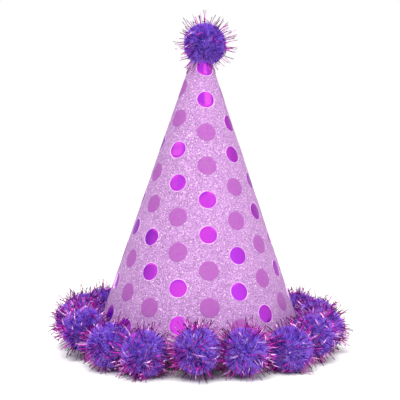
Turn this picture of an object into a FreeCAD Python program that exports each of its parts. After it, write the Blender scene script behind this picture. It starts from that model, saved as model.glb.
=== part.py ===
import FreeCAD, Part
import math
import os
import Sketcher

# A cone party hat, in millimetres, +Z up. The origin is on the table, on the cone's axis.
# A sheet of card faced with a glitter film is rolled into a cone and stuck to itself in a
# narrow lap at the back. Round foil dots are pressed onto the film. Soft pompoms are glued
# in a ring round the rim, where the hat stands on them, and one is glued over the tip.
# Azimuths are in degrees about +Z: 0 faces -Y, the front, and 90 faces +X.

SIZES = [
    ("rim_radius", 65.0, "outer radius of the card at the rim"),
    ("tip_radius", 2.8, "outer radius of the card at the cut tip"),
    ("cone_height", 180.5, "height of the card from the rim to the cut tip"),
    ("rim_lift", 7.2, "height of the rim above the table"),
    ("card_thickness", 0.4, "thickness of the card"),
    ("film_thickness", 0.2, "thickness of the glitter film on the card"),
    ("adhesive_thickness", 0.1, "thickness of the adhesive strip in the lap"),
    ("lap_start", 172.0, "azimuth of the sheet's covered edge"),
    ("lap_angle", 12.0, "angle over which the sheet covers itself"),
    ("ramp_angle", 1.6, "angle in which the sheet climbs onto the lap"),
    ("dot_diameter", 11.2, "diameter of a foil dot"),
    ("dot_thickness", 0.12, "thickness of a foil dot"),
    ("dot_pitch", 21.0, "distance between the dots of a column"),
    ("column_pitch", 17.7, "distance between neighbouring columns of dots"),
    ("column_drop", 0.9, "how far each column is lower than the one to its left"),
    ("print_drop", 23.7, "distance from the cone's apex to the first dot at the front"),
    ("print_side", 2.0, "how far the front column is right of the middle"),
    ("print_turn", 1.3, "angle by which the print is askew on the sheet"),
    ("pompom_count", 18, "number of pompoms round the rim"),
    ("pompom_phase", -1.3, "azimuth of the first pompom"),
    ("pompom_diameter", 25.6, "diameter of a rim pompom"),
    ("pompom_press", 0.4, "how far a pompom flattens on the table"),
    ("pompom_unevenness", 1.0, "how much of its own turn and lift each pompom has"),
    ("pompom_gap", 0.5, "least gap between neighbouring pompoms"),
    ("pompom_clearance", 0.15, "gap between a pompom and the hat's outermost layer"),
    ("bead_radius", 2.6, "radius of a glue bead behind a rim pompom"),
    ("top_diameter", 26.4, "diameter of the top pompom"),
    ("top_rise", 0.9, "height of the top pompom's centre above the cut tip"),
    ("top_side", 2.3, "how far the top pompom sits to the right of the axis"),
    ("tip_grip", 5.0, "length of the tip that is bedded in glue"),
    ("tip_cap", 1.0, "thickness of the glue above the cut tip"),
    ("tip_glue", 1.25, "distance from the card to the outside of the tip glue"),
    ("tie_radius", 1.6, "radius of the thread ring that ties a pompom"),
    ("thread_radius", 0.35, "radius of the tying thread"),
]

# The finish of the dots repeats in fours down a column, two bright and two satin, and each
# column starts one and a half dots further on than the one to its left.
FINISH_REPEAT = 4
BRIGHT_RUN = 2
FINISH_STEP = 1.5

# A dot is left out when its centre is past the sheet's edge by more of its radius than this.
DOT_REACH = 0.7

# How each pompom was glued, going round from the front: degrees by which it is turned from its
# even place, and millimetres by which it is off the table. The hat stands on those at 0.
POMPOM_SEATS = (
    (0.6, 3.2), (0.1, 2.0), (1.8, 0.0), (0.8, 3.3), (0.0, 2.4), (-0.4, 3.0),
    (0.3, 2.6), (-0.5, 1.6), (0.4, 0.0), (0.0, 1.8), (-0.6, 0.0), (0.5, 2.8),
    (-0.3, 4.2), (0.2, 4.8), (0.3, 5.2), (-1.2, 5.3), (1.4, 1.3), (-0.9, 0.0),
)

X_AXIS = FreeCAD.Vector(1, 0, 0)
Y_AXIS = FreeCAD.Vector(0, 1, 0)
Z_AXIS = FreeCAD.Vector(0, 0, 1)

# Expressions shared by several pieces.
SLOPE = "((Sizes.rim_radius - Sizes.tip_radius) / Sizes.cone_height)"
SECANT = f"sqrt(1 + {SLOPE} * {SLOPE})"
TIP_HEIGHT = "(Sizes.rim_lift + Sizes.cone_height)"
LAP_RISE = "(Sizes.card_thickness + Sizes.film_thickness + Sizes.adhesive_thickness)"
DOT_TOP = "(Sizes.film_thickness + Sizes.dot_thickness)"


def make_sheet(doc):
    """Keep the driving dimensions in a spreadsheet, one row each."""
    sheet = doc.addObject("Spreadsheet::Sheet", "Sizes")
    for row, (alias, value, meaning) in enumerate(SIZES, start=1):
        sheet.set(f"A{row}", meaning)
        sheet.set(f"B{row}", str(value))
        sheet.setAlias(f"B{row}", alias)
    doc.recompute()
    return sheet


def number(sheet, expression):
    """The value of an expression of the sheet's cells, as a plain number."""
    value = sheet.evalExpression(expression)
    return float(getattr(value, "Value", value))


def cone_radius(height, offset):
    """Expression for the cone's radius at a height, at a distance out from the card's face."""
    return f"(Sizes.rim_radius - ({height} - Sizes.rim_lift) * {SLOPE} + ({offset}) * {SECANT})"


def outward(azimuth, leaning):
    """Unit vector that points away from the axis at an azimuth, leaning up by an angle."""
    level = math.cos(leaning)
    turn = math.radians(azimuth)
    return FreeCAD.Vector(level * math.sin(turn), -level * math.cos(turn), math.sin(leaning))


# ---- the rolled sheet ---------------------------------------------------------------------


def origin_plane(body, role):
    """One of a body's own origin planes."""
    return next(item for item in body.Origin.OriginFeatures if item.Role == role)


def wall_profile(sheet, body, name, azimuth, inner, outer):
    """Sketch of the cone's wall between two offsets, on the half plane at an azimuth."""
    sketch = body.newObject("Sketcher::SketchObject", name)
    sketch.AttachmentSupport = (origin_plane(body, "XZ_Plane"), [""])
    sketch.MapMode = "FlatFace"
    turn = number(sheet, azimuth) - 90
    sketch.AttachmentOffset = FreeCAD.Placement(FreeCAD.Vector(), FreeCAD.Rotation(Y_AXIS, turn))
    corners = [
        (cone_radius("Sizes.rim_lift", inner), "Sizes.rim_lift"),
        (cone_radius("Sizes.rim_lift", outer), "Sizes.rim_lift"),
        (cone_radius(TIP_HEIGHT, outer), TIP_HEIGHT),
        (cone_radius(TIP_HEIGHT, inner), TIP_HEIGHT),
    ]
    add_polygon(sheet, sketch, corners)
    return sketch


def add_polygon(sheet, sketch, corners):
    """Closed polygon whose corners are pairs of expressions, each bound to its constraints."""
    points = [FreeCAD.Vector(number(sheet, x), number(sheet, y), 0) for x, y in corners]
    count = len(corners)
    for index in range(count):
        line = Part.LineSegment(points[index], points[(index + 1) % count])
        sketch.addGeometry(line, False)
    for index in range(count):
        sketch.addConstraint(Sketcher.Constraint("Coincident", index, 2, (index + 1) % count, 1))
    for index, (x, y) in enumerate(corners):
        for kind, start, expression in (("DistanceX", points[index].x, x),
                                        ("DistanceY", points[index].y, y)):
            constraint = Sketcher.Constraint(kind, -1, 1, index, 1, start)
            place = sketch.addConstraint(constraint)
            sketch.setExpression(f"Constraints[{place}]", expression)


def revolve(body, name, sketch, angle):
    """Turn a sketch about the hat's axis by an expression's angle."""
    turn = body.newObject("PartDesign::Revolution", name)
    turn.Profile = sketch
    turn.ReferenceAxis = (sketch, ["V_Axis"])
    turn.setExpression("Angle", angle)
    sketch.Visibility = False
    return turn


def rolled_layer(doc, sheet, label, inner, outer, first_edge):
    """One layer of the rolled sheet between two offsets from the card's outer face.

    The layer goes once round from first_edge, climbs by the lap's rise, and covers itself.
    """
    body = doc.addObject("PartDesign::Body", label)
    body.Label = label
    ramp_start = "(Sizes.lap_start - Sizes.ramp_angle + 360)"
    high_inner = f"{inner} + {LAP_RISE}"
    high_outer = f"{outer} + {LAP_RISE}"

    once_round = wall_profile(sheet, body, f"{label}_round", first_edge, inner, outer)
    revolve(body, f"{label}_turn", once_round, f"{ramp_start} - ({first_edge})")

    foot = wall_profile(sheet, body, f"{label}_foot", ramp_start, inner, outer)
    crest = wall_profile(sheet, body, f"{label}_crest", "Sizes.lap_start", high_inner, high_outer)
    ramp = body.newObject("PartDesign::AdditiveLoft", f"{label}_ramp")
    ramp.Profile = foot
    ramp.Sections = [crest]
    ramp.Ruled = True

    cover = wall_profile(sheet, body, f"{label}_cover", "Sizes.lap_start", high_inner, high_outer)
    body.Tip = revolve(body, f"{label}_lap", cover, "Sizes.lap_angle")
    doc.recompute()
    return body


def make_seam_strip(doc, sheet):
    """Adhesive between the covered edge of the sheet and the edge that covers it."""
    body = doc.addObject("PartDesign::Body", "seam_strip")
    body.Label = "seam_strip"
    outer = "Sizes.film_thickness + Sizes.adhesive_thickness"
    profile = wall_profile(sheet, body, "seam_section", "Sizes.lap_start",
                           "Sizes.film_thickness", outer)
    body.Tip = revolve(body, "seam_turn", profile, "Sizes.lap_angle")
    return body


# ---- the foil dots ------------------------------------------------------------------------


def dot_places(sheet):
    """Yield azimuth, distance from the apex along the cone, and finish of every dot.

    The print is a staggered grid on the flat sheet. A point of the flat sheet keeps its
    distance from the apex, and its angle there is the azimuth times the sine of the cone's
    half angle.
    """
    half_angle = math.atan(number(sheet, SLOPE))
    turn = math.radians(sheet.print_turn)
    dot_radius = sheet.dot_diameter / 2
    first = (sheet.tip_radius / math.sin(half_angle)
             + sheet.tip_grip / math.cos(half_angle) + dot_radius)
    last = sheet.rim_radius / math.sin(half_angle) + DOT_REACH * dot_radius
    free_edge = sheet.lap_start + sheet.lap_angle
    reach = math.ceil(last / min(sheet.column_pitch, sheet.dot_pitch)) + 2
    for column in range(-reach, reach + 1):
        stagger = (column % 2) / 2
        for row in range(-reach, reach + 1):
            across = column * sheet.column_pitch + sheet.print_side
            down = ((row + stagger) * sheet.dot_pitch + column * sheet.column_drop
                    + sheet.print_drop)
            right = math.cos(turn) * across + math.sin(turn) * down
            below = math.cos(turn) * down - math.sin(turn) * across
            distance = math.hypot(right, below)
            azimuth = math.degrees(math.atan2(right, below)) / math.sin(half_angle)
            margin = math.degrees(DOT_REACH * dot_radius / (distance * math.sin(half_angle)))
            on_sheet = free_edge - 360 - margin < azimuth < free_edge + margin
            if first < distance < last and on_sheet:
                step = (row + stagger - FINISH_STEP * column) % FINISH_REPEAT
                yield azimuth, distance, step < BRIGHT_RUN


def dot_solids(sheet, layer, azimuth, distance):
    """The parts of the foil layer inside one round dot, trimmed by the sheet's free edge."""
    half_angle = math.atan(number(sheet, SLOPE))
    apex = number(sheet, f"{TIP_HEIGHT} + Sizes.tip_radius / {SLOPE}")
    depth = number(sheet, f"{LAP_RISE} + {DOT_TOP}") + sheet.dot_diameter / 4
    normal = outward(azimuth, half_angle)
    along = outward(azimuth, half_angle - math.pi / 2)
    centre = FreeCAD.Vector(0, 0, apex) + along * distance
    punch = Part.makeCylinder(sheet.dot_diameter / 2, 2 * depth, centre - normal * depth, normal)
    free_edge = sheet.lap_start + sheet.lap_angle
    kept = []
    for solid in layer.common(punch).Solids:
        middle = solid.CenterOfMass
        place = math.degrees(math.atan2(middle.x, -middle.y))
        place += 360 * round((azimuth - place) / 360)
        if free_edge - 360 < place < free_edge:
            kept.append(solid)
    return kept


def make_dots(doc, sheet, layer):
    """Two groups of foil dots, bright and satin, lying on the glitter film."""
    solids = {True: [], False: []}
    for azimuth, distance, bright in dot_places(sheet):
        solids[bright] += dot_solids(sheet, layer.Shape, azimuth, distance)
    groups = []
    for label, bright in (("foil_dots_bright", True), ("foil_dots_satin", False)):
        group = doc.addObject("Part::Feature", label)
        group.Label = label
        group.Shape = Part.makeCompound(solids[bright])
        group.Placement = FreeCAD.Placement()
        groups.append(group)
    return groups


def make_dot_plugs(doc, sheet):
    """The wall under and in each dot near the rim, which keeps the rim's glue off the dots."""
    wall = rolled_layer(doc, sheet, "printed_wall", f"-Sizes.card_thickness - {LAP_RISE}",
                        DOT_TOP, "Sizes.lap_start + Sizes.lap_angle")
    near = (sheet.rim_radius / math.sin(math.atan(number(sheet, SLOPE)))
            - sheet.pompom_diameter)
    solids = []
    for azimuth, distance, _ in dot_places(sheet):
        if distance > near:
            solids += dot_solids(sheet, wall.Shape, azimuth, distance)
    plugs = doc.addObject("Part::Feature", "dot_plugs")
    plugs.Shape = Part.makeCompound(solids)
    return plugs


# ---- the pompoms --------------------------------------------------------------------------


def place_at(piece, x, y, z, rotation):
    """Turn a piece, and bind its position to three expressions."""
    piece.Placement = FreeCAD.Placement(FreeCAD.Vector(), rotation)
    piece.setExpression("Placement.Base.x", x)
    piece.setExpression("Placement.Base.y", y)
    piece.setExpression("Placement.Base.z", z)


def make_boolean(doc, kind, name, base, tool):
    """A Part::Cut or Part::Common of two objects."""
    result = doc.addObject(kind, name)
    result.Base = base
    result.Tool = tool
    result.Label = name
    return result


def make_group(doc, label, members):
    """Separate solids of one kind kept together as one piece."""
    group = doc.addObject("Part::Compound", label)
    group.Label = label
    group.Links = members
    return group


def make_tie(doc, name, x, y, z, rotation):
    """Ring of thread round the middle of a pompom."""
    tie = doc.addObject("Part::Torus", name)
    tie.setExpression("Radius1", "Sizes.tie_radius")
    tie.setExpression("Radius2", "Sizes.thread_radius")
    place_at(tie, x, y, z, rotation)
    return tie


def pompom_seat(sheet, index):
    """Azimuth of a rim pompom, and how far it is off the table, as plain numbers."""
    count = int(sheet.pompom_count)
    turn, lift = POMPOM_SEATS[index % count % len(POMPOM_SEATS)]
    azimuth = index * 360 / count + sheet.pompom_phase + turn * sheet.pompom_unevenness
    return azimuth, lift * sheet.pompom_unevenness


def make_rim_pompom(doc, sheet, index):
    """One rim pompom with its tie and its glue bead, still uncut by the sheet.

    The ball is kept above the table and between the middles of the gaps to its neighbours,
    so that it flattens against the table and the neighbours where it would reach into them.
    """
    label = f"rim_pompom_{index + 1:02d}"
    azimuth, lift = pompom_seat(sheet, index)
    start = (pompom_seat(sheet, index - 1)[0] + azimuth) / 2
    end = (azimuth + pompom_seat(sheet, index + 1)[0]) / 2
    height = f"(Sizes.pompom_diameter / 2 - Sizes.pompom_press + {lift:.3f})"
    stand_off = f"({LAP_RISE} + {DOT_TOP} + Sizes.pompom_clearance)"
    centre_radius = cone_radius(height, f"{stand_off} + Sizes.pompom_diameter / 2")
    outside = outward(azimuth, 0)
    centre_x = f"{centre_radius} * ({outside.x:.6f})"
    centre_y = f"{centre_radius} * ({outside.y:.6f})"

    ball = doc.addObject("Part::Sphere", f"{label}_ball")
    ball.setExpression("Radius", "Sizes.pompom_diameter / 2")
    place_at(ball, centre_x, centre_y, height, FreeCAD.Rotation(Z_AXIS, azimuth - 90))

    cell = doc.addObject("Part::Cylinder", f"{label}_cell")
    cell.setExpression("Radius", f"{centre_radius} + Sizes.pompom_diameter")
    cell.setExpression("Height", f"{height} + Sizes.pompom_diameter")
    cell.Angle = end - start
    half_gap = f"Sizes.pompom_gap / 2 / sin({(end - start) / 2:.4f} deg)"
    through = outward((start + end) / 2, 0)
    place_at(cell, f"{half_gap} * ({through.x:.6f})", f"{half_gap} * ({through.y:.6f})", "0",
             FreeCAD.Rotation(Z_AXIS, start - 90))

    across = FreeCAD.Rotation(Z_AXIS, outward(azimuth + 90, 0))
    tie = make_tie(doc, f"{label}_tie", centre_x, centre_y, height, across)
    trimmed = make_boolean(doc, "Part::Common", f"{label}_trimmed", ball, cell)
    pompom = make_boolean(doc, "Part::Cut", label, trimmed, tie)

    bead = make_bead(doc, sheet, label, azimuth, centre_radius, height, ball)
    return pompom, tie, bead


def make_bead(doc, sheet, label, azimuth, centre_radius, height, ball):
    """Glue bead from inside the card's wall to a rim pompom, ending on the ball's face."""
    half_angle = math.atan(number(sheet, SLOPE))
    normal = outward(azimuth, half_angle)
    from_card = number(sheet, f"{LAP_RISE} + {DOT_TOP} + Sizes.pompom_clearance")
    start_depth = sheet.card_thickness / 2
    ball_radius = sheet.pompom_diameter / 2
    hollow = ball_radius - math.sqrt(ball_radius ** 2 - sheet.bead_radius ** 2)
    outside = outward(azimuth, 0)
    ring = number(sheet, centre_radius)
    middle = FreeCAD.Vector(ring * outside.x, ring * outside.y, number(sheet, height))
    start = middle - normal * (ball_radius + from_card + start_depth)
    rod = doc.addObject("Part::Cylinder", f"{label}_glue")
    rod.setExpression("Radius", "Sizes.bead_radius")
    rod.Height = start_depth + from_card + 1.5 * hollow
    rod.Placement = FreeCAD.Placement(start, FreeCAD.Rotation(Z_AXIS, normal))
    return make_boolean(doc, "Part::Cut", f"{label}_bead", rod, ball)


def drop_crumbs(doc, sheet, beads):
    """The cut glue beads without the crumbs that a dot's edge leaves."""
    doc.recompute()
    smallest = sheet.bead_radius ** 3 / 20
    glue = doc.addObject("Part::Feature", "rim_glue_dots")
    glue.Shape = Part.makeCompound([bead for bead in beads.Shape.Solids
                                    if bead.Volume > smallest])
    return glue


def make_tip_glue(doc, sheet, layers):
    """Glue round, inside and over the cut tip, shaped by the card and the film."""
    body = doc.addObject("PartDesign::Body", "tip_glue_plug")
    sketch = body.newObject("Sketcher::SketchObject", "tip_glue_section")
    sketch.AttachmentSupport = (origin_plane(body, "XZ_Plane"), [""])
    sketch.MapMode = "FlatFace"
    low = f"({TIP_HEIGHT} - Sizes.tip_grip)"
    high = f"({TIP_HEIGHT} + Sizes.tip_cap)"
    corners = [
        ("0", low),
        (cone_radius(low, "Sizes.tip_glue"), low),
        (cone_radius(high, "Sizes.tip_glue"), high),
        ("0", high),
    ]
    add_polygon(sheet, sketch, corners)
    body.Tip = revolve(body, "tip_glue_turn", sketch, "360")
    glue = body
    for step, layer in enumerate(layers):
        glue = make_boolean(doc, "Part::Cut", f"tip_glue_cut_{step + 1}", glue, layer)
    glue.Label = "tip_glue"
    return glue


def make_top_pompom(doc):
    """Ball with a conical socket that fits over the glued tip, and its tie."""
    centre_height = f"({TIP_HEIGHT} + Sizes.top_rise)"
    foot = f"({centre_height} - Sizes.top_diameter)"
    crest = f"({TIP_HEIGHT} + Sizes.tip_cap)"
    no_turn = FreeCAD.Rotation()

    ball = doc.addObject("Part::Sphere", "top_pompom_ball")
    ball.setExpression("Radius", "Sizes.top_diameter / 2")
    place_at(ball, "Sizes.top_side", "0", centre_height, no_turn)

    socket = doc.addObject("Part::Cone", "top_pompom_socket")
    socket.setExpression("Radius1", cone_radius(foot, "Sizes.tip_glue"))
    socket.setExpression("Radius2", cone_radius(crest, "Sizes.tip_glue"))
    socket.setExpression("Height", f"{crest} - {foot}")
    place_at(socket, "0", "0", foot, no_turn)

    tie = make_tie(doc, "top_pompom_tie", "Sizes.top_side", "0", centre_height, no_turn)
    tie.Label = "top_pompom_tie"
    hollow = make_boolean(doc, "Part::Cut", "top_pompom_hollow", ball, socket)
    return make_boolean(doc, "Part::Cut", "top_pompom", hollow, tie), tie


# ---- the whole hat ------------------------------------------------------------------------


def make_hat(doc, sheet):
    """Build every piece, and return the objects that are written out."""
    card = rolled_layer(doc, sheet, "card_cone", "-Sizes.card_thickness", "0", "Sizes.lap_start")
    film = rolled_layer(doc, sheet, "glitter_sheet", "0", "Sizes.film_thickness",
                        "Sizes.lap_start")
    seam = make_seam_strip(doc, sheet)
    foil = rolled_layer(doc, sheet, "foil_layer", "Sizes.film_thickness", DOT_TOP,
                        "Sizes.lap_start + Sizes.lap_angle")
    dots = make_dots(doc, sheet, foil)

    pompoms = []
    ties = []
    beads = []
    for index in range(int(sheet.pompom_count)):
        pompom, tie, bead = make_rim_pompom(doc, sheet, index)
        pompoms.append(pompom)
        ties.append(tie)
        beads.append(bead)
    rim_ties = make_group(doc, "rim_pompom_ties", ties)
    rim_glue = make_group(doc, "rim_glue_beads", beads)
    plugs = make_dot_plugs(doc, sheet)
    for step, layer in enumerate([plugs, card, film, seam]):
        rim_glue = make_boolean(doc, "Part::Cut", f"rim_glue_cut_{step + 1}", rim_glue, layer)
    rim_glue = drop_crumbs(doc, sheet, rim_glue)

    tip_glue = make_tip_glue(doc, sheet, [card, film, seam])
    top_pompom, top_tie = make_top_pompom(doc)
    doc.recompute()
    return ([card, film, seam] + dots + [rim_glue, tip_glue, top_pompom, top_tie, rim_ties]
            + pompoms)


def check(doc, pieces):
    """Stop if an object failed, or if a piece has no valid shape."""
    failed = [item.Label for item in doc.Objects
              if "Invalid" in item.State or "Error" in item.State]
    if failed:
        raise RuntimeError(f"these objects failed: {failed}")
    for piece in pieces:
        if piece.Shape.isNull() or not piece.Shape.isValid() or not piece.Shape.Solids:
            raise RuntimeError(f"{piece.Label} has no valid solid")
    print(f"{len(pieces)} pieces, {sum(len(piece.Shape.Solids) for piece in pieces)} solids")


def main():
    doc = FreeCAD.newDocument("PartyHat")
    sheet = make_sheet(doc)
    pieces = make_hat(doc, sheet)
    check(doc, pieces)
    os.makedirs("parts", exist_ok=True)
    for piece in pieces:
        piece.Shape.exportStep(f"parts/{piece.Label}.step")


main()
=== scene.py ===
import math

import bpy
import numpy as np
from bpy.props import FloatProperty, FloatVectorProperty, IntProperty, PointerProperty
from mathutils import Matrix, Vector


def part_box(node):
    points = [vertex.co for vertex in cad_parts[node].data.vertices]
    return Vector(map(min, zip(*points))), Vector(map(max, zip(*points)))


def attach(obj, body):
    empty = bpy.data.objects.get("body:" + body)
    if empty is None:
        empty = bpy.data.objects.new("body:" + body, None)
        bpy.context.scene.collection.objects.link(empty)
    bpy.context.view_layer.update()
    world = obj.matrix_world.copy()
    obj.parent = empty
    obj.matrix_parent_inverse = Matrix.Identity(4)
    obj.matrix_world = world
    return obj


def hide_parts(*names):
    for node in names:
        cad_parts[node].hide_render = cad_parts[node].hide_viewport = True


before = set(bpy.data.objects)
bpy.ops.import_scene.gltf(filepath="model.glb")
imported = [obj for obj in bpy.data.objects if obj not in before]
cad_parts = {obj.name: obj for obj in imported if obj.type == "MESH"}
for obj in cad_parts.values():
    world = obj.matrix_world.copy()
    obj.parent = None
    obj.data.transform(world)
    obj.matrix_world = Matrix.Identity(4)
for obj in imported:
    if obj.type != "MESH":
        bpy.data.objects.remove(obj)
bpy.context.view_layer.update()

# Looks of a cone party hat: glitter film and foil dots on a rolled card, tinsel pompoms on the
# rim and tip. Everything is in metres in the frame's own axes: +Z up, -Y the front. Azimuths
# are in degrees about +Z from the front, and grow towards +X.

bl_info = {
    "name": "Party Hat",
    "version": (1, 0, 0),
    "blender": (4, 5, 0),
    "location": "View3D > Sidebar > Party Hat",
    "description": "Builds the looks of a glitter cone hat with tinsel pompoms",
    "category": "Object",
}

MM = 0.001
STRAND_MAP = "OFBake"
BODY = "root"

CARD_LOW, CARD_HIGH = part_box("card_cone")
RIM_POMPOMS = sorted(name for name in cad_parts
                     if name.startswith(("rim_pompom_0", "rim_pompom_1")))
SAME_HEIGHT = 0.01 * MM


def node_points(node):
    """All vertices of a frame node as an array of rows."""
    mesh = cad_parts[node].data
    points = np.empty(len(mesh.vertices) * 3)
    mesh.vertices.foreach_get("co", points)
    return points.reshape(-1, 3)


def front_radius(node, height):
    """Largest distance from the axis of a node's front vertices at a height."""
    points = node_points(node)
    at_height = (np.abs(points[:, 2] - height) < SAME_HEIGHT) & (points[:, 1] < 0)
    return float(np.hypot(points[at_height, 0], points[at_height, 1]).max())


# The cone of the card's outer face, from the frame.
RIM_RADIUS = front_radius("card_cone", CARD_LOW.z)
TIP_RADIUS = front_radius("card_cone", CARD_HIGH.z)
HALF_ANGLE = math.atan((RIM_RADIUS - TIP_RADIUS) / (CARD_HIGH.z - CARD_LOW.z))
SINE = math.sin(HALF_ANGLE)
COSINE = math.cos(HALF_ANGLE)
APEX = CARD_HIGH.z + TIP_RADIUS / math.tan(HALF_ANGLE)
TIP_DISTANCE = (APEX - CARD_HIGH.z) / COSINE
RIM_DISTANCE = (APEX - CARD_LOW.z) / COSINE


def linear(hex_colour):
    """Scene-linear red, green, blue and alpha of an sRGB hex colour."""
    srgb = np.array([int(hex_colour[i:i + 2], 16) / 255 for i in (0, 2, 4)])
    curve = np.where(srgb <= 0.04045, srgb / 12.92, ((srgb + 0.055) / 1.055) ** 2.4)
    return (*curve.tolist(), 1.0)


def length(name, description, value):
    """A length property that the user sees in the scene's unit."""
    return FloatProperty(name=name, description=description, default=value, min=0.0,
                         subtype="DISTANCE", unit="LENGTH", precision=5)


def colour(name, description, hex_colour):
    """A colour property whose default is given as sRGB hex."""
    return FloatVectorProperty(name=name, description=description, subtype="COLOR", size=4,
                               min=0.0, max=1.0, default=linear(hex_colour))


def degrees(name, description, value):
    """A plain number of degrees."""
    return FloatProperty(name=name, description=description, default=value)


def count(name, description, value):
    """A whole number of pieces, one at least."""
    return IntProperty(name=name, description=description, default=value, min=1)


# ---- settings -----------------------------------------------------------------------------


class HatSheetSettings(bpy.types.PropertyGroup):
    """The rolled card, its lap and the glitter film on it."""

    film: length("Film thickness", "Thickness of the glitter film", 0.2 * MM)
    lap_rise: length("Lap rise", "How far the covering edge stands off the covered one", 0.7 * MM)
    lap_start: degrees("Lap start", "Azimuth of the covered edge", 172.0)
    lap_angle: degrees("Lap angle", "Angle over which the sheet covers itself", 12.0)
    ramp_angle: degrees("Ramp angle", "Angle in which the sheet climbs onto the lap", 1.6)
    grain: length("Grain size", "Radius of a glitter grain", 0.24 * MM)
    grains: count("Grains", "Number of raised glitter grains", 44000)
    lilac: colour("Lilac", "Main colour of the glitter", "B37FBC")
    shade: colour("Shade", "Darkest grains", "7C5C8A")
    # Painted glint: near white, for the brightest film flakes and grains.
    painted_glint: colour("Spark", "Brightest grains", "FFE6FF")
    card: colour("Card", "Bare white card", "EFEDEA")
    glue: colour("Glue", "Set glue behind the pompoms and at the tip", "E9E3D0")
    strip: colour("Strip", "Adhesive strip in the lap", "E4E0DA")
    cloudy: colour("Cloudy glue", "Spots in the glue and the strip", "BCB3A0")


class HatDotSettings(bpy.types.PropertyGroup):
    """The staggered print of foil dots."""

    diameter: length("Diameter", "Diameter of a dot", 11.2 * MM)
    thickness: length("Thickness", "Thickness of a dot", 0.12 * MM)
    pitch: length("Dot pitch", "Distance between the dots of a column", 21.0 * MM)
    column_pitch: length("Column pitch", "Distance between columns", 17.7 * MM)
    column_drop: length("Column drop", "How much lower each column is", 0.9 * MM)
    print_drop: length("Print drop", "Distance from the apex to the first dot", 23.7 * MM)
    print_side: length("Print side", "How far the front column is off the middle", 2.0 * MM)
    print_turn: degrees("Print turn", "How far the print is askew", 1.3)
    magenta: colour("Magenta", "Bright foil", "F44CFC")
    purple: colour("Purple", "Bright foil where it is deeper", "EC48FC")
    mauve: colour("Mauve", "Satin foil", "974F9C")
    pearl: colour("Pearl", "Pressed edge of the bright dots", "F2C2F8")


class HatPompomSettings(bpy.types.PropertyGroup):
    """The yarn and tinsel of a pompom."""

    tufts: count("Tufts", "Yarn ends in one pompom", 760)
    fibres: count("Fibres", "Fibres in one yarn end", 20)
    fibre_width: length("Fibre width", "Width of a fibre at its root", 0.34 * MM)
    tinsel: count("Tinsel strips", "Tinsel strips in one pompom", 560)
    tinsel_width: length("Tinsel width", "Width of a tinsel strip", 0.4 * MM)
    tinsel_reach: length("Tinsel reach", "How far the longest strip stands out", 7.0 * MM)
    yarn: colour("Yarn", "Violet yarn", "A865FF")
    # Darkest random tufts, and the painted shade at the fibres' roots and on the core.
    yarn_dark_and_painted_shade: colour("Dark yarn", "Yarn deep in the pompom", "50289E")
    yarn_light: colour("Light yarn", "Frayed ends of the yarn", "D2AEFF")
    # Painted dark: tinsel drawn as if seen against the light.
    tinsel_painted_dark: colour("Dark tinsel", "Tinsel seen against the light", "3A0638")
    tinsel_bright: colour("Bright tinsel", "Magenta tinsel", "D62FC0")
    # Painted glint: tinsel drawn as if catching the light.
    tinsel_painted_glint: colour("Tinsel spark", "Tinsel that catches the light", "FFC4FF")
    thread: colour("Thread", "Tying thread", "2A1460")


class HatStageSettings(bpy.types.PropertyGroup):
    """Floor, lights and camera."""

    camera_distance: length("Camera distance", "Camera to the hat's axis", 493.2 * MM)
    camera_height: length("Camera height", "Camera above the table", 117.4 * MM)
    camera_pitch: degrees("Camera pitch", "How far the camera looks down", 2.95)
    camera_roll: degrees("Camera roll", "How far the camera leans", 0.43)
    camera_lens: FloatProperty(name="Lens", description="Focal length in mm", default=70.94)
    floor: colour("Floor", "Pale floor", "FCFDF8")


# ---- mesh helpers -------------------------------------------------------------------------


def grid_faces(rows, columns, start=0, closed=False, flip=False):
    """Four-cornered faces of a grid of points stored row by row.

    Each face runs from a point along the row, then across to the next row. A closed grid
    joins each row's last point to its first.
    """
    row = np.arange(rows - 1)[:, None] * columns
    across = np.arange(columns if closed else columns - 1)[None, :]
    after = (across + 1) % columns
    faces = np.stack([row + across, row + after, row + columns + after, row + columns + across],
                     axis=-1).reshape(-1, 4) + start
    return faces[:, ::-1] if flip else faces


def ring_faces(rows, columns, start=0):
    """Faces of a closed shape of rings: squares between them, and a fan to a hub at each end.

    The points are the rings one after another, then the first ring's hub and the last's.
    """
    here = np.arange(columns)
    after = (here + 1) % columns
    hub = np.full(columns, rows * columns)
    last = (rows - 1) * columns
    fans = np.concatenate([np.stack([after, here, hub], axis=1),
                           np.stack([last + here, last + after, hub + 1], axis=1)])
    return grid_faces(rows, columns, start, closed=True), fans + start


def build_mesh(name, points, faces, uv=None, materials=(), slots=None, smooth=True):
    """Make a mesh object from arrays: points in rows, faces as arrays of equal-sized rows."""
    mesh = bpy.data.meshes.new(name)
    corners = np.concatenate([group.ravel() for group in faces]).astype(np.int32)
    sizes = np.concatenate([np.full(len(group), group.shape[1]) for group in faces])
    starts = np.concatenate([[0], np.cumsum(sizes)[:-1]]).astype(np.int32)
    mesh.vertices.add(len(points))
    mesh.vertices.foreach_set("co", np.asarray(points, np.float32).ravel())
    mesh.loops.add(len(corners))
    mesh.loops.foreach_set("vertex_index", corners)
    mesh.polygons.add(len(sizes))
    mesh.polygons.foreach_set("loop_start", starts)
    mesh.polygons.foreach_set("use_smooth", np.full(len(sizes), smooth))
    for material in materials:
        mesh.materials.append(material)
    if slots is not None:
        mesh.polygons.foreach_set("material_index", np.asarray(slots, np.int32))
    if uv is not None:
        layer = mesh.uv_layers.new(name=STRAND_MAP)
        layer.uv.foreach_set("vector", np.asarray(uv, np.float32).ravel())
    mesh.update(calc_edges=True)
    piece = bpy.data.objects.new(name, mesh)
    bpy.context.scene.collection.objects.link(piece)
    return piece


def hand_over(piece, slot, *nodes):
    """Let a piece ride on the hat, and stand for frame nodes."""
    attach(piece, BODY)
    if nodes:
        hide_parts(*nodes)


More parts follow.
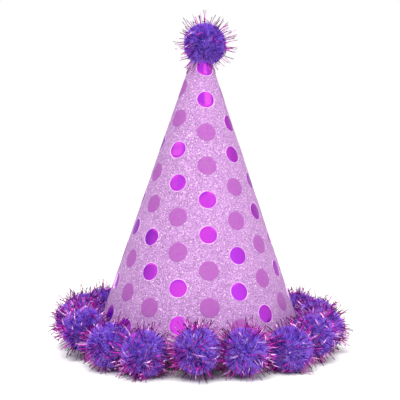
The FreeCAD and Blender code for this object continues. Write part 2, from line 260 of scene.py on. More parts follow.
def directions(rng, number, spread):
    """Unit vectors spread evenly over a sphere, each moved a little at random.

    The points follow a golden spiral: equal steps in height, each turned by the golden angle.
    """
    step = np.arange(number) + 0.5
    height = 1 - 2 * step / number
    turn = step * math.pi * (3 - math.sqrt(5)) + rng.uniform(0, 2 * math.pi)
    level = np.sqrt(1 - height ** 2)
    spiral = np.stack([level * np.cos(turn), level * np.sin(turn), height], axis=1)
    return unit(spiral + rng.normal(0, spread, spiral.shape))


def unit(vectors):
    """The same vectors, each divided by its length."""
    return vectors / np.linalg.norm(vectors, axis=-1, keepdims=True)


# ---- the rolled sheet ---------------------------------------------------------------------

FILM_COLUMNS, FILM_ROWS, RAMP_COLUMNS = 373, 41, 5
FILM_BASE = 0.02 * MM       # the film's inner face off the card
TIP_CLEARANCE = 5.0 * MM    # bare film between the tip and the first dot
TRIM_SHARE = 0.7            # of a dot's radius: how far its centre may be past an edge
GRAIN_SEED = 11
GRAIN_SIZES = (0.6, 1.25)   # shares of the grain size, smallest and largest
GRAIN_UNEVEN = 0.25         # spread of a grain's corners and of its peak
GRAIN_SUNK = 0.03 * MM      # a grain's deepest corner under the film's face
GRAIN_TILT = 0.05 * MM      # how much higher its other corners may be
GRAIN_PEAKS = (0.05 * MM, 0.13 * MM)
GRAIN_CELLS = 48            # squares along each side of the grains' map


def rolled(sheet, azimuth, distance, offset):
    """Places on the rolled sheet.

    A point keeps its distance from the cone's apex. Its radius is that distance times the
    sine of the cone's half angle, plus the offset out from the card, plus the rise of the lap,
    which grows evenly over the ramp. Its height is the apex less the distance's drop.
    """
    climbed = np.clip((azimuth - sheet.lap_start) / sheet.ramp_angle + 1, 0, 1)
    radius = distance * SINE + (offset + climbed * sheet.lap_rise) / COSINE
    turn = np.radians(azimuth)
    height = APEX - distance * COSINE
    return np.stack(np.broadcast_arrays(radius * np.sin(turn), -radius * np.cos(turn), height),
                    axis=-1)


def slab(outer, inner):
    """Points and faces of a closed sheet between two grids whose rows go down the cone."""
    rows, columns = outer.shape[:2]
    points = np.concatenate([outer.reshape(-1, 3), inner.reshape(-1, 3)])
    number = rows * columns
    faces = [grid_faces(rows, columns), grid_faces(rows, columns, number, flip=True)]
    index = np.arange(number).reshape(rows, columns)
    border = np.concatenate([index[0, :], index[1:, -1], index[-1, -2::-1], index[-2:0:-1, 0]])
    after = np.roll(border, -1)
    faces.append(np.stack([after, border, border + number, after + number], axis=1))
    return points, faces


def visible_range(sheet):
    """Azimuths between which the sheet's outside can be seen."""
    free_edge = sheet.lap_start + sheet.lap_angle
    return free_edge - 360, free_edge


def flat_place(azimuth, distance):
    """Right and down places on the flat sheet of points given by azimuth and distance."""
    turn = np.radians(azimuth) * SINE
    return np.stack(np.broadcast_arrays(distance * np.sin(turn), distance * np.cos(turn)), -1)


def dot_print(sheet, dots):
    """Flat centres of the dots on the sheet, and whether each is bright.

    The print is a grid of columns. Every other column is half a pitch lower, every column is
    a little lower than the one to its left, and the whole grid is turned. Down a column the
    finish goes two bright, two satin, and each column starts one and a half dots further on.
    """
    reach = math.ceil(RIM_DISTANCE / dots.column_pitch) + 2
    column, row = np.meshgrid(np.arange(-reach, reach + 1), np.arange(-reach, reach + 1))
    stagger = (column % 2) / 2
    across = column * dots.column_pitch + dots.print_side
    down = (row + stagger) * dots.pitch + column * dots.column_drop + dots.print_drop
    turn = math.radians(dots.print_turn)
    right = math.cos(turn) * across + math.sin(turn) * down
    below = math.cos(turn) * down - math.sin(turn) * across
    distance = np.hypot(right, below)
    azimuth = np.degrees(np.arctan2(right, below)) / SINE
    radius = dots.diameter / 2
    margin = np.degrees(TRIM_SHARE * radius / (distance * SINE))
    low, high = visible_range(sheet)
    first = TIP_DISTANCE + TIP_CLEARANCE / COSINE + radius
    kept = ((distance > first) & (distance < RIM_DISTANCE + TRIM_SHARE * radius)
            & (azimuth > low - margin) & (azimuth < high + margin))
    bright = (row + stagger - 1.5 * column) % 4 < 2
    return np.stack([right[kept], below[kept]], axis=1), bright[kept]


def make_film(sheet, material):
    """Glitter film: the whole sheet's outside as a thin closed layer."""
    azimuth = np.linspace(sheet.lap_start - 360, sheet.lap_start + sheet.lap_angle, FILM_COLUMNS)
    ramp = np.linspace(sheet.lap_start - sheet.ramp_angle, sheet.lap_start, RAMP_COLUMNS)
    azimuth = np.union1d(azimuth, ramp)[:, None]
    distance = np.linspace(TIP_DISTANCE, RIM_DISTANCE, FILM_ROWS)[None, :]
    outer = rolled(sheet, azimuth, distance, sheet.film)
    inner = rolled(sheet, azimuth, distance, FILM_BASE)
    points, faces = slab(outer, inner)
    film = build_mesh("glitter_film", points, faces, materials=[material])
    hand_over(film, "lilac_glitter_film", "glitter_sheet")


def make_grains(sheet, dots, material):
    """Raised glitter grains: flattened three-cornered pyramids strewn over the film.

    Each grain has a random place, an even number to each area of the sheet, and its corners
    lie on a small circle, a third of a turn apart, with a low peak off its middle.
    """
    rng = np.random.default_rng(GRAIN_SEED)
    low, high = visible_range(sheet)
    azimuth = rng.uniform(low, high, sheet.grains)
    distance = np.sqrt(rng.uniform(TIP_DISTANCE ** 2, RIM_DISTANCE ** 2, sheet.grains))
    centres, _ = dot_print(sheet, dots)
    flat = flat_place(azimuth, distance)
    gap = np.linalg.norm(flat[:, None, :] - centres[None, :, :], axis=2).min(axis=1)
    clear = gap > dots.diameter / 2 + sheet.grain
    azimuth, distance = azimuth[clear, None], distance[clear, None]
    number = len(azimuth)

    size = sheet.grain * rng.uniform(*GRAIN_SIZES, (number, 1))
    angle = rng.uniform(0, 2 * math.pi, (number, 1)) + np.arange(3) * 2 * math.pi / 3
    angle += rng.normal(0, GRAIN_UNEVEN, angle.shape)
    sideways = size * np.cos(angle)
    downwards = size * np.sin(angle)
    foot = sheet.film - GRAIN_SUNK + rng.uniform(0, GRAIN_TILT, (number, 3))
    corners = rolled(sheet, azimuth + np.degrees(sideways / (distance * SINE)),
                     np.clip(distance + downwards, TIP_DISTANCE, RIM_DISTANCE), foot)
    lean = rng.normal(0, GRAIN_UNEVEN, (number, 1)) * size
    peaks = rolled(sheet, azimuth + np.degrees(lean / (distance * SINE)), distance,
                   sheet.film + rng.uniform(*GRAIN_PEAKS, (number, 1)))
    points = np.concatenate([corners, peaks], axis=1).reshape(-1, 3)
    base = np.arange(number)[:, None, None] * 4
    pattern = np.array([[1, 0, 3], [2, 1, 3], [0, 2, 3], [0, 1, 2]])
    faces = (base + pattern).reshape(-1, 3)

    # Each grain takes one small square of the map, so its whole surface has one colour.
    cell = rng.integers(0, GRAIN_CELLS, (number, 1, 1, 2))
    inside = np.array([[0.2, 0.2], [0.8, 0.2], [0.5, 0.8]])
    uv = (cell + inside[None, None]) / GRAIN_CELLS * np.ones((1, 4, 1, 1))
    grains = build_mesh("glitter_grains", points, [faces], uv=uv.reshape(-1, 2),
                        materials=[material], smooth=False)
    hand_over(grains, "lilac_glitter_film", "glitter_sheet")


# ---- the foil dots ------------------------------------------------------------------------

SEGMENTS = 40
UNDERSIDE = 0.05    # share of a dot's thickness, clear of the film
# Rings of a dot from its middle to its edge: share of the radius, and share of its thickness.
# The bright dots' pressed edge, from ring PEARL_FROM, stands higher than the foil inside it.
BRIGHT_RINGS = ((0.3, 1.0), (0.6, 1.0), (0.88, 1.0), (0.925, 0.6), (0.94, 1.2), (0.965, 1.6),
                (0.99, 1.3), (1.0, 0.8), (1.0, UNDERSIDE))
SATIN_RINGS = ((0.3, 1.0), (0.6, 1.0), (0.9, 1.0), (0.975, 0.95), (1.0, 0.7), (1.0, UNDERSIDE))
PEARL_FROM = 3
BRIGHT_SEED, SATIN_SEED = 5, 6
INSET_SHARE = 0.15          # of the radius: a trimmed dot's middle stays this far inside
RIPPLE = 0.35               # share of the thickness, on foil thicker than RIPPLE_FROM
RIPPLE_FROM = 0.7
RIPPLE_WAVES = (0.6, 1.1)   # fewest and most across a dot


def dot_reach(sheet, centre, radius):
    """A middle inside the trimmed dot, and the way from it to the dot's edge in each direction.

    The trimmed dot is the part of a circle that is nearer to the apex than the rim and
    between the sheet's two side edges, so each way is the shortest of the ways to those.
    """
    distance = math.hypot(*centre)
    azimuth = math.degrees(math.atan2(*centre)) / SINE
    low, high = visible_range(sheet)
    inset = INSET_SHARE * radius
    distance = min(distance, RIM_DISTANCE - inset)
    margin = math.degrees(inset / (distance * SINE))
    azimuth = min(max(azimuth, low + margin), high - margin)
    middle = flat_place(azimuth, distance)

    turn = np.arange(SEGMENTS) / SEGMENTS * 2 * math.pi
    way = np.stack([np.cos(turn), np.sin(turn)], axis=1)

    def to_circle(hub, size):
        off = middle - hub
        along = way @ off
        return -along + np.sqrt(np.maximum(along ** 2 - off @ off + size ** 2, 0))

    reach = np.minimum(to_circle(centre, radius), to_circle(np.zeros(2), RIM_DISTANCE))
    for edge, side in ((low, -1), (high, 1)):
        line = math.radians(edge) * SINE
        outward = side * np.array([math.cos(line), -math.sin(line)])
        speed = way @ outward
        room = -(middle @ outward)
        with np.errstate(divide="ignore"):
            reach = np.minimum(reach, np.where(speed > 1e-9, room / speed, np.inf))
    return middle, way, reach


def make_dots(name, slot, node, seed, sheet, dots, bright, rings, materials):
    """A group of foil dots: round plates that follow the rolled sheet.

    A dot is a set of rings round its middle. A ring's points lie at a share of the way to
    the dot's edge, and its height is a share of the foil's thickness plus a slow ripple, the
    sine of a slanting distance across the dot.
    """
    rng = np.random.default_rng(seed)
    share, rise = np.array(rings).T
    centres, is_bright = dot_print(sheet, dots)
    points, quads, triangles = [], [], []
    per_dot = len(rings) * SEGMENTS + 2
    ring_slots = np.repeat((np.arange(len(rings) - 1) >= PEARL_FROM) & bright, SEGMENTS)
    for index, centre in enumerate(centres[is_bright == bright]):
        middle, way, reach = dot_reach(sheet, centre, dots.diameter / 2)
        flat = middle + (share[:, None] * reach[None, :])[..., None] * way
        flat = np.concatenate([flat.reshape(-1, 2), middle[None], middle[None]])
        lift = np.concatenate([np.repeat(rise, SEGMENTS), [1.0, UNDERSIDE]])
        tilt = rng.uniform(0, 2 * math.pi)
        across = (flat - centre) @ np.array([math.cos(tilt), math.sin(tilt)]) / dots.diameter
        ripple = np.sin(2 * math.pi * (across * rng.uniform(*RIPPLE_WAVES) + rng.uniform()))
        fade = np.clip((lift - RIPPLE_FROM) / (1 - RIPPLE_FROM), 0, 1)
        ripple = RIPPLE * ripple * fade * bright
        azimuth = np.degrees(np.arctan2(flat[:, 0], flat[:, 1])) / SINE
        distance = np.hypot(flat[:, 0], flat[:, 1])
        offset = sheet.film + (lift + ripple) * dots.thickness
        points.append(rolled(sheet, azimuth, distance, offset))
        squares, fans = ring_faces(len(rings), SEGMENTS, index * per_dot)
        quads.append(squares)
        triangles.append(fans)
    quads = np.concatenate(quads)
    triangles = np.concatenate(triangles)
    slots = np.concatenate([np.tile(ring_slots, len(points)), np.zeros(len(triangles), bool)])
    piece = build_mesh(name, np.concatenate(points), [quads, triangles], materials=materials,
                       slots=slots.astype(int))
    hand_over(piece, slot, node)


# ---- pompoms ------------------------------------------------------------------------------

MAP_COLUMNS = 64            # columns of the strands' map; each strand lies in one
ACROSS = (0.1, 0.9, 0.9, 0.1)
YARN_SKIN = 0.4 * MM        # yarn off the card's cone
TINSEL_SKIN = 0.45 * MM     # tinsel off the card's cone
TINSEL_STAND = 0.1 * MM     # tinsel off the table, more than the yarn
TINSEL_THICKNESS = 0.05 * MM
RIM_STAND = 0.15 * MM       # yarn of the rim pompoms off the table
RIM_SEED, TOP_SEED = 100, 77

# Sizes and random spreads as shares of the ball's radius.
CORE, ROOT = 0.87, 0.8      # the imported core, and where the fibres start
TUFT_PLACE = 0.03           # a tuft on the ball, and a fibre in its tuft
TUFT_LEAN = 0.07            # a tuft, and a fibre in its tuft
FIBRE_FAN = 0.6             # how much a fibre leans away from its tuft's middle
TUFT_LENGTH, FIBRE_LENGTH = 0.022, 0.028
STRAYS, STRAY_LENGTH = 0.03, 0.05
TUFT_TONE, FIBRE_TONE = 0.2, 0.17
FIBRE_WIDTHS = (0.7, 1.3)   # shares of the fibre width, thinnest and thickest
PARTING_SPREAD = 0.35       # of the parting's middle from straight out

STRIP_PLACE, STRIP_BEND, STRIP_TWIST = 0.12, 0.04, 1.2
SHEAVES, SHEAF_WIDTH = 5, 0.2
GATHERED, COMBED = 0.24, 0.3        # shares of the strips in sheaves, and lying over the yarn
COMB_PULL, COMB_STRAY, COMB_DRIFT = 0.8, 0.4, 0.36
COMBED_REACH = (0.03, 0.3)          # shares of the tinsel's reach, shortest and longest
STANDING_REACH = (0.1, 1.0)
COMBED_ROOT, STANDING_ROOT = 0.95, 0.6
PAINTED_LIGHT_TONE_FROM = 0.42                # darkest tone of the combed and the gathered strips, painted lighter


def ball_of(node):
    """Centre and radius of a pompom's ball, whose underside the table may flatten."""
    low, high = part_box(node)
    radius = (high.x - low.x) / 2
    return np.array([(low.x + high.x) / 2, (low.y + high.y) / 2, high.z - radius]), radius


def keep_clear(points, floor, skin):
    """Move points that are under the floor or inside the cone out to the surface.

    A point inside the cone moves level, straight away from the axis, to the cone's radius
    at its height plus the skin.
    """
    radius = np.hypot(points[..., 0], points[..., 1])
    wall = (APEX - points[..., 2]) * math.tan(HALF_ANGLE) + skin / COSINE
    wall = np.where(points[..., 2] < CARD_LOW.z - skin, 0, wall)
    push = np.where(radius < wall, wall / np.maximum(radius, 1e-9), 1)
    moved = points.copy()
    moved[..., :2] *= push[..., None]
    moved[..., 2] = np.maximum(moved[..., 2], floor)
    return moved


def strand_frames(stations):
    """Two unit vectors square to each strand, one pair for a strand."""
    along = unit(stations[:, -1] - stations[:, 0])
    helper = np.where(np.abs(along[:, 2:]) < 0.9, [[0.0, 0.0, 1.0]], [[1.0, 0.0, 0.0]])
    side = unit(np.cross(along, helper))
    return side, np.cross(along, side)


def column_map(column, across, up):
    """Places on the map of points given by their column and place across it, and place up."""
    return np.stack(np.broadcast_arrays((column + across) / MAP_COLUMNS, up),
                    axis=-1).reshape(-1, 2)


def column_of(tone):
    """Column of the map for each strand's tone, from 0 on the left to 1 on the right."""
    return np.floor(tone * (MAP_COLUMNS - 1e-6))[:, None, None]


def spike_mesh(root, tip, width, tone):
    """Points, faces and map of thin spikes.

    A spike has three points round its root, a third of a turn apart, and one at its tip. On
    the map it is one narrow column: its tone places it from left to right, and up is from
    root to tip.
    """
    number = len(root)
    side, other = strand_frames(np.stack([root, tip], axis=1))
    turn = np.arange(3) * 2 * math.pi / 3
    around = (side[:, None] * np.cos(turn)[None, :, None]
              + other[:, None] * np.sin(turn)[None, :, None])
    ring = root[:, None] + around * (width / 2)[:, None, None]
    points = np.concatenate([ring, tip[:, None]], axis=1)
    faces = (np.arange(number)[:, None, None] * 4
             + np.array([[0, 1, 3], [1, 2, 3], [2, 0, 3], [2, 1, 0]])[None])

    up = np.array([[0.1, 0.1, 0.98]] * 3 + [[0.0, 0.0, 0.1]])
    uv = column_map(column_of(tone), np.tile([0.1, 0.9, 0.5], (4, 1)), up)
    return points.reshape(-1, 3), faces.reshape(-1, 3), uv


def core_mesh(centre, radius, rng, rows=20, columns=36):
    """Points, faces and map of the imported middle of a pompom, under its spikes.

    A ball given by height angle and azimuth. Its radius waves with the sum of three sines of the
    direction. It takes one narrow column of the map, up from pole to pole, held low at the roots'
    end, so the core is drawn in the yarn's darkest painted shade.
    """
    rise = np.linspace(-math.pi / 2, math.pi / 2, rows + 2)[1:-1, None]
    turn = np.arange(columns)[None, :] / columns * 2 * math.pi
    way = np.stack(np.broadcast_arrays(np.cos(rise) * np.cos(turn), np.cos(rise) * np.sin(turn),
                                       np.sin(rise)), axis=-1).reshape(-1, 3)
    way = np.concatenate([way, [[0, 0, -1], [0, 0, 1]]])
    waves = np.sin(way @ rng.normal(0, 7, (3, 3)) + rng.uniform(0, 6, 3)).sum(axis=1)
    points = centre + way * (radius * (1 + 0.012 * waves))[:, None]
    quads, caps = ring_faces(rows, columns)
    level = np.linspace(0.02, 0.08, rows)
    low, high = level[:-1], level[1:]
    quad_up = np.stack([low, low, high, high], axis=1).repeat(columns, axis=0)
    column = MAP_COLUMNS // 3
    uv = [column_map(column, np.tile(ACROSS, (len(quads), 1)), quad_up),
          column_map(column, np.tile([0.1, 0.9, 0.5], (len(caps), 1)),
                     np.tile([0.01, 0.01, 0.02], (len(caps), 1)))]
    return points, [quads, caps], np.concatenate(uv)


def ribbon_mesh(stations, width, thickness, twist, tone):
    """Points, faces and map of flat strips with square ends, mapped as the fibres are.

    The four corners round each station are half a width to either side and half a thickness
    up and down, turned about the strip by a twist that grows evenly along it.
    """
    number, places = stations.shape[:2]
    side, other = strand_frames(stations)
    turn = twist[:, None] + twist[:, None] * np.linspace(0, 1, places)[None, :]
    flat = (side[:, None] * np.cos(turn)[..., None] + other[:, None] * np.sin(turn)[..., None])
    upright = (other[:, None] * np.cos(turn)[..., None] - side[:, None] * np.sin(turn)[..., None])
    corner = np.array([[1, 1], [-1, 1], [-1, -1], [1, -1]])
    points = (stations[:, :, None]
              + flat[:, :, None] * (corner[:, 0] * width / 2)[None, None, :, None]
              + upright[:, :, None] * (corner[:, 1] * thickness / 2)[None, None, :, None])
    base = np.arange(number)[:, None, None] * places * 4
    last = (places - 1) * 4
    ends = np.array([[3, 2, 1, 0], [last, last + 1, last + 2, last + 3]])
    sides = grid_faces(places, 4, closed=True)
    quads = base + np.concatenate([sides, ends])[None]

    level = np.linspace(0.02, 0.98, places)
    low, high = level[:-1], level[1:]
    up = np.stack([low, low, high, high], axis=1).repeat(4, axis=0)
    up = np.concatenate([up, [[0.0, 0.0, 0.02, 0.02], [0.98, 0.98, 1.0, 1.0]]])
    uv = column_map(column_of(tone), np.tile(ACROSS, (len(up), 1)), up)
    return points.reshape(-1, 3), [quads.reshape(-1, 4)], uv


def part_strands(way, parting, half_length=0.32, depth=0.13, reach=0.16):
    """Lean directions away from a short parting on the ball, where the tie pulls them in.

    The parting is a short line, given by the direction of its middle and the way it runs. A
    direction near it moves off sideways by a distance that falls as a bell curve of how far
    it already is.
    """
    part_middle, part_along = parting
    sideways = np.cross(part_along, part_middle)
    off = way @ sideways
    along = way @ part_along
    near = np.exp(-(off / reach) ** 2) * (np.abs(along) < half_length) * (way @ part_middle > 0)
    push = np.where(off >= 0, 1, -1) * near * depth
    return unit(way + push[:, None] * sideways)


def make_yarn(node, rng, pompoms, ball, parting, stand, middle_tone, material):
    """Tufts of cut yarn on a packed core.

    A tuft's direction comes from the golden spiral. Its spikes start side by side on the core
    and lean apart at random, so each tuft ends in a soft brush.
    """
    centre, radius = ball
    core_points, core_faces, core_uv = core_mesh(centre, radius * CORE, rng)
    core_points = keep_clear(core_points, stand, YARN_SKIN)
    tuft = part_strands(directions(rng, pompoms.tufts, TUFT_PLACE), parting)
    number = pompoms.tufts * pompoms.fibres
    way = np.repeat(tuft, pompoms.fibres, axis=0)
    spot = unit(way + rng.normal(0, TUFT_PLACE, way.shape))
    lean = np.repeat(rng.normal(0, TUFT_LEAN, tuft.shape), pompoms.fibres, axis=0)
    tip_way = unit(spot + (spot - way) * FIBRE_FAN + lean
                   + rng.normal(0, TUFT_LEAN, way.shape))
    long = np.repeat(rng.normal(1.0, TUFT_LENGTH, pompoms.tufts), pompoms.fibres)
    long += rng.normal(0, FIBRE_LENGTH, number) + (rng.random(number) < STRAYS) * STRAY_LENGTH
    root = keep_clear(centre + spot * radius * ROOT, stand, YARN_SKIN)
    tip = keep_clear(centre + tip_way * (radius * long)[:, None], stand, YARN_SKIN)
    width = pompoms.fibre_width * rng.uniform(*FIBRE_WIDTHS, number)
    tone = np.repeat(rng.normal(middle_tone, TUFT_TONE, pompoms.tufts), pompoms.fibres)
    tone = np.clip(tone + rng.normal(0, FIBRE_TONE, number), 0, 1)
    points, faces, uv = spike_mesh(root, tip, width, tone)
    piece = build_mesh(f"{node}_yarn", np.concatenate([core_points, points]),
                       [*core_faces, faces + len(core_points)],
                       uv=np.concatenate([core_uv, uv]), materials=[material], smooth=False)
    hand_over(piece, "violet_pompom_yarn", node)


def make_tinsel(node, rng, pompoms, ball, parting, stand, sparse, reach, material):
    """Tinsel strips: each runs from a root in the yarn over a middle to its tip.

    Most strips stand out of the yarn, some of them in sheaves where the bundle was tight.
    The rest lie over it, combed away from the tie.
    """
    centre, radius = ball
    number = int(pompoms.tinsel * sparse)
    way = part_strands(directions(rng, number, STRIP_PLACE), parting)
    sheaf = unit(rng.normal(0, 1, (SHEAVES, 3)))[rng.integers(0, SHEAVES, number)]
    gathered = rng.random(number) < GATHERED * sparse
    way = np.where(gathered[:, None], unit(sheaf + rng.normal(0, SHEAF_WIDTH, way.shape)), way)
    combed = rng.random(number) < COMBED * sparse
    over = pompoms.tinsel_reach * reach * np.where(combed, rng.uniform(*COMBED_REACH, number),
                                                   rng.uniform(*STANDING_REACH, number))
    bend = rng.normal(0, STRIP_BEND, (number, 3))
    away = unit(way - parting[0] * COMB_PULL) + rng.normal(0, COMB_STRAY, (number, 3))
    drift = np.where(combed[:, None], away * COMB_DRIFT, bend)
    start = np.where(combed, COMBED_ROOT, STANDING_ROOT)
    root = centre + unit(way - drift * 0.4) * (radius * start)[:, None]
    middle = centre + unit(way + drift * 0.3) * (radius * 1.01 + 0.45 * over)[:, None]
    tip = centre + unit(way + drift) * (radius + over)[:, None]
    stations = keep_clear(np.stack([root, middle, tip], axis=1), stand + TINSEL_STAND,
                          TINSEL_SKIN)
    twist = rng.uniform(-STRIP_TWIST, STRIP_TWIST, number)
    # Each strip's random tone picks its painted light, from painted dark through magenta to
    # painted glint. Combed and gathered strips take only the lighter tones, so they carry more
    # painted glints.
    tone = rng.random(number)
    brighter = PAINTED_LIGHT_TONE_FROM + (1 - PAINTED_LIGHT_TONE_FROM) * tone
    tone = np.where(combed | gathered, brighter, tone)
    points, faces, uv = ribbon_mesh(stations, pompoms.tinsel_width, TINSEL_THICKNESS, twist,
                                    tone)
    piece = build_mesh(f"{node}_tinsel", points, faces, uv=uv, materials=[material],
                       smooth=False)
    hand_over(piece, "violet_pompom_yarn", node)


def make_pompom(node, seed, pompoms, yarn, tinsel, stand=0.0, sparse=1.0, reach=1.0,
                middle_tone=0.5):
    """One pompom of yarn and tinsel, parted on its outer side where the tie pulls it in."""
    rng = np.random.default_rng(seed)
    centre, radius = ball_of(node)
    outward = unit(np.array([centre[0], centre[1], 0.0]) + [1e-9, 0, 0])
    part_middle = unit(outward + rng.normal(0, PARTING_SPREAD, 3))
    parting = part_middle, unit(np.cross(part_middle, rng.normal(0, 1, 3)))
    ball = centre, radius
    make_yarn(node, rng, pompoms, ball, parting, stand, middle_tone, yarn)
    make_tinsel(node, rng, pompoms, ball, parting, stand, sparse, reach, tinsel)


# ---- materials ----------------------------------------------------------------------------

# A texture's Scale is one over the real size of its features.

BLACK, WHITE = linear("000000"), linear("FFFFFF")


def add_node(tree, kind, links=None, stops=(), **settings):
    """Add a node, set its properties and inputs, and link its inputs.

    A setting whose name is an input's name, with spaces as underscores, fills that input. A
    link's source is an output, a node whose first output in use is meant, or a constant. Stops
    are a colour ramp's pairs of position and colour.
    """
    node = tree.nodes.new("ShaderNode" + kind)
    for name, value in settings.items():
        socket = name.replace("_", " ")
        if socket in node.inputs:
            node.inputs[socket].default_value = value
        else:
            setattr(node, name, value)
    for name, source in (links or {}).items():
        if isinstance(source, bpy.types.Node):
            source = next(output for output in source.outputs if output.enabled)
        if isinstance(source, bpy.types.NodeSocket):
            tree.links.new(source, node.inputs[name])
        else:
            node.inputs[name].default_value = source
    for _ in stops[2:]:
        node.color_ramp.elements.new(0.5)
    for index, stop in enumerate(stops):
        element = node.color_ramp.elements[index]
        element.position, element.color = stop
    return node


def new_material(name, mapped=False):
    """An empty node material, its tree, and its pattern's coordinates.

    The coordinates are the object's own, in metres, or those of the strands' and grains' map.
    """
    material = bpy.data.materials.new(name)
    material.use_nodes = True
    tree = material.node_tree
    tree.nodes.clear()
    if mapped:
        place = add_node(tree, "UVMap", uv_map=STRAND_MAP).outputs["UV"]
    else:
        place = add_node(tree, "TexCoord").outputs["Object"]
    return material, tree, place


def finish_material(material, links, **settings):
    """The material, with a surface that has these inputs and settings."""
    tree = material.node_tree
    add_node(tree, "OutputMaterial",
             {"Surface": add_node(tree, "BsdfPrincipled", links, **settings)})
    return material


def drifting_material(name, size, low, high, detail=2.0, **settings):
    """A material whose colour drifts between two stops with noise of a real size."""
    material, tree, place = new_material(name)
    noise = add_node(tree, "TexNoise", {"Vector": place}, Scale=1 / size, Detail=detail)
    tone = add_node(tree, "ValToRGB", {"Fac": noise}, (low, high))
    return finish_material(material, {"Base Color": tone}, **settings)


def strand_material(name, tones, shades, **settings):
    """A strand's material: its tone by its column of the map, shaded from root to tip."""
    material, tree, place = new_material(name, mapped=True)
    parts = add_node(tree, "SeparateXYZ", {"Vector": place})
    tone = add_node(tree, "ValToRGB", {"Fac": parts.outputs["X"]}, tones)
    # Painted shade along the strand, from root to tip, multiplied into its tone.
    shade = add_node(tree, "ValToRGB", {"Fac": parts.outputs["Y"]}, shades)
    shaded = add_node(tree, "Mix", {"A": tone, "B": shade},
                      data_type="RGBA", blend_type="MULTIPLY", Factor=1.0)
    return finish_material(material, {"Base Color": shaded}, **settings)


def mix(first, second, share):
    """A colour between two, by a share of the second."""
    return tuple(a + (b - a) * share for a, b in zip(first, second))


def glitter_film_material(sheet):
    """Glitter film: flakes of polyester in clear lacquer on a lilac film.

    Each flake is a cell with its own tone, gloss and lean. The brightest cells are painted near
    white as painted glints, beside dull grains. Real flakes are 0.2 mm, drawn at 0.45 mm so that
    they show.
    """
    material, tree, place = new_material("lilac_polyester_glitter_film")
    flakes = add_node(tree, "TexVoronoi", {"Vector": place}, Scale=1 / (0.45 * MM))
    parts = add_node(tree, "SeparateColor", {"Color": flakes.outputs["Color"]})
    tone = add_node(tree, "ValToRGB", {"Fac": parts.outputs["Red"]}, (
        (0.0, sheet.shade), (0.2, mix(sheet.shade, sheet.lilac, 0.6)), (0.45, sheet.lilac),
        (0.85, mix(sheet.lilac, sheet.painted_glint, 0.12)),
        (0.95, mix(sheet.lilac, sheet.painted_glint, 0.35)), (1.0, sheet.painted_glint)))
    cloud = add_node(tree, "TexNoise", {"Vector": place}, Scale=1 / (16 * MM), Detail=1.0)
    tint = add_node(tree, "Mix",
                    {"Factor": cloud, "A": tone, "B": mix(WHITE, sheet.lilac, 0.1)},
                    data_type="RGBA", blend_type="MULTIPLY")
    lean = add_node(tree, "VectorMath", {0: flakes.outputs["Color"], 1: (0.5, 0.5, 0.5)},
                    operation="SUBTRACT")
    face = add_node(tree, "NewGeometry")
    turned = add_node(tree, "VectorMath",
                      {0: lean, 1: (0.5, 0.5, 0.5), 2: face.outputs["Normal"]},
                      operation="MULTIPLY_ADD")
    normal = add_node(tree, "VectorMath", {0: turned}, operation="NORMALIZE")
    gloss = add_node(tree, "MapRange", {"Value": parts.outputs["Green"]},
                     To_Min=0.4, To_Max=0.75)
    return finish_material(material, {"Base Color": tint, "Roughness": gloss,
                                      "Normal": normal}, Metallic=0.1)


def glitter_grain_material(sheet):
    """Loose glitter grains: cut polyester flake, brighter and glossier than the film."""
    material, tree, place = new_material("cut_polyester_glitter_grains", mapped=True)
    parts = add_node(tree, "SeparateXYZ", {"Vector": place})
    # Each grain's tone is random; the brightest are painted near white as painted glints.
    tone = add_node(tree, "ValToRGB", {"Fac": parts.outputs["X"]}, (
        (0.0, mix(sheet.shade, sheet.lilac, 0.3)), (0.3, mix(sheet.shade, sheet.lilac, 0.8)),
        (0.6, sheet.lilac), (0.88, mix(sheet.lilac, sheet.painted_glint, 0.25)), (1.0, sheet.painted_glint)))
    gloss = add_node(tree, "MapRange", {"Value": parts.outputs["Y"]}, To_Min=0.3, To_Max=0.7)
    return finish_material(material, {"Base Color": tone, "Roughness": gloss}, Metallic=0.15)


def bright_foil_material(dots):
    """Hot-stamped magenta foil: aluminium vapour under a dyed lacquer, near to a mirror.

    The dye is uneven, so the colour drifts between magenta and purple, and the film's grit
    shows through as a faint orange peel.
    """
    material, tree, place = new_material("hot_stamped_magenta_foil")
    drift = add_node(tree, "TexNoise", {"Vector": place}, Scale=1 / (24 * MM), Detail=1.0)
    dye = add_node(tree, "ValToRGB", {"Fac": drift}, ((0.38, dots.purple), (0.62, dots.magenta)))
    grit = add_node(tree, "TexNoise", {"Vector": place}, Scale=1 / (0.8 * MM), Detail=2.0)
    gloss = add_node(tree, "MapRange", {"Value": grit}, To_Min=0.1, To_Max=0.2)
    peel = add_node(tree, "Bump", {"Height": grit}, Strength=0.12, Distance=0.03 * MM)
    return finish_material(material, {"Base Color": dye, "Roughness": gloss, "Normal": peel},
                           Metallic=1.0, Coat_Weight=0.3, Coat_Roughness=0.06)


def pearl_edge_material(dots):
    """Pressed edge of the bright foil: clear lacquer squeezed up round the die, nearly white."""
    return drifting_material("pressed_pearl_foil_edge", 5 * MM,
                             (0.38, mix(dots.pearl, dots.mauve, 0.55)), (0.6, dots.pearl),
                             Metallic=0.2, Roughness=0.25)


def satin_foil_material(dots):
    """Satin mauve foil: the same stamping with a matt lacquer, flat to the eye.

    A fine mottle and a faint grit keep it from looking like paint.
    """
    material, tree, place = new_material("satin_mauve_foil")
    mottle = add_node(tree, "TexNoise", {"Vector": place}, Scale=1 / (2.2 * MM), Detail=3.0)
    tone = add_node(tree, "ValToRGB", {"Fac": mottle}, (
        (0.3, mix(dots.mauve, dots.purple, 0.12)), (0.7, mix(dots.mauve, dots.pearl, 0.08))))
    grit = add_node(tree, "TexNoise", {"Vector": place}, Scale=1 / (0.5 * MM), Detail=2.0)
    peel = add_node(tree, "Bump", {"Height": grit}, Strength=0.25, Distance=0.05 * MM)
    return finish_material(material, {"Base Color": tone, "Normal": peel},
                           Metallic=0.2, Roughness=0.5)


